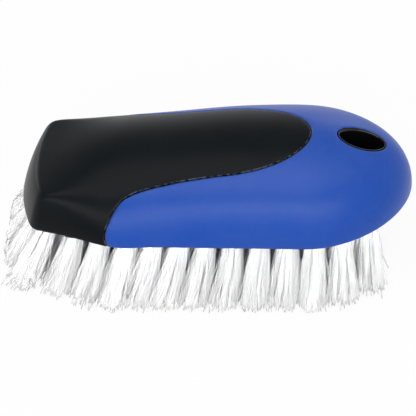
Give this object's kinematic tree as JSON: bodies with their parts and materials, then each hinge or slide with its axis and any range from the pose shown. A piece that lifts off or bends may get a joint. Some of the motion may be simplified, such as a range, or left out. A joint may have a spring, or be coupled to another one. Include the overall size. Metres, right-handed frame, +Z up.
{
  "type": "palm grip scrub brush",
  "caption": "Palm grip scrub brush: hollow back with a soft grip on its nose and crown, an oval hang hole and rows of tufts.",
  "frame": {"origin": "middle of the footprint, in the plane of the bristle tips", "axes": "+X from the nose towards the tail with the hang hole, +Y across the brush, +Z up from the tips to the crown"},
  "size_m": [0.1658, 0.0834, 0.0603],
  "materials": {
    "blue_plastic": "fine satin blue moulded plastic",
    "black_grip": "soft black moulded grip",
    "gloss_black": "glossy black moulded plastic",
    "block_white": "natural white moulded plastic",
    "bristle_white": "white synthetic bristles"
  },
  "bodies": {
    "root": {"handle_shell": "blue_plastic", "grip_overmould": "black_grip", "hang_hole_sleeve": "gloss_black", "bristle_block": "block_white", "tuft_outer_near_01": "bristle_white", "tuft_outer_near_02": "bristle_white", "tuft_outer_near_03": "bristle_white", "tuft_outer_near_04": "bristle_white", "tuft_outer_near_05": "bristle_white", "tuft_outer_near_06": "bristle_white", "tuft_outer_near_07": "bristle_white", "tuft_outer_near_08": "bristle_white", "tuft_outer_near_09": "bristle_white", "tuft_outer_near_10": "bristle_white", "tuft_outer_near_11": "bristle_white", "tuft_outer_near_12": "bristle_white", "tuft_outer_near_13": "bristle_white", "tuft_outer_far_01": "bristle_white", "tuft_outer_far_02": "bristle_white", "tuft_outer_far_03": "bristle_white", "tuft_outer_far_04": "bristle_white", "tuft_outer_far_05": "bristle_white", "tuft_outer_far_06": "bristle_white", "tuft_outer_far_07": "bristle_white", "tuft_outer_far_08": "bristle_white", "tuft_outer_far_09": "bristle_white", "tuft_outer_far_10": "bristle_white", "tuft_outer_far_11": "bristle_white", "tuft_outer_far_12": "bristle_white", "tuft_outer_far_13": "bristle_white", "tuft_middle_near_01": "bristle_white", "tuft_middle_near_02": "bristle_white", "tuft_middle_near_03": "bristle_white", "tuft_middle_near_04": "bristle_white", "tuft_middle_near_05": "bristle_white", "tuft_middle_near_06": "bristle_white", "tuft_middle_near_07": "bristle_white", "tuft_middle_near_08": "bristle_white", "tuft_middle_near_09": "bristle_white", "tuft_middle_near_10": "bristle_white", "tuft_middle_near_11": "bristle_white", "tuft_middle_far_01": "bristle_white", "tuft_middle_far_02": "bristle_white", "tuft_middle_far_03": "bristle_white", "tuft_middle_far_04": "bristle_white", "tuft_middle_far_05": "bristle_white", "tuft_middle_far_06": "bristle_white", "tuft_middle_far_07": "bristle_white", "tuft_middle_far_08": "bristle_white", "tuft_middle_far_09": "bristle_white", "tuft_middle_far_10": "bristle_white", "tuft_middle_far_11": "bristle_white", "tuft_centre_01": "bristle_white", "tuft_centre_02": "bristle_white", "tuft_centre_03": "bristle_white", "tuft_centre_04": "bristle_white", "tuft_centre_05": "bristle_white", "tuft_centre_06": "bristle_white", "tuft_centre_07": "bristle_white", "tuft_centre_08": "bristle_white"}
  },
  "joints": []
}
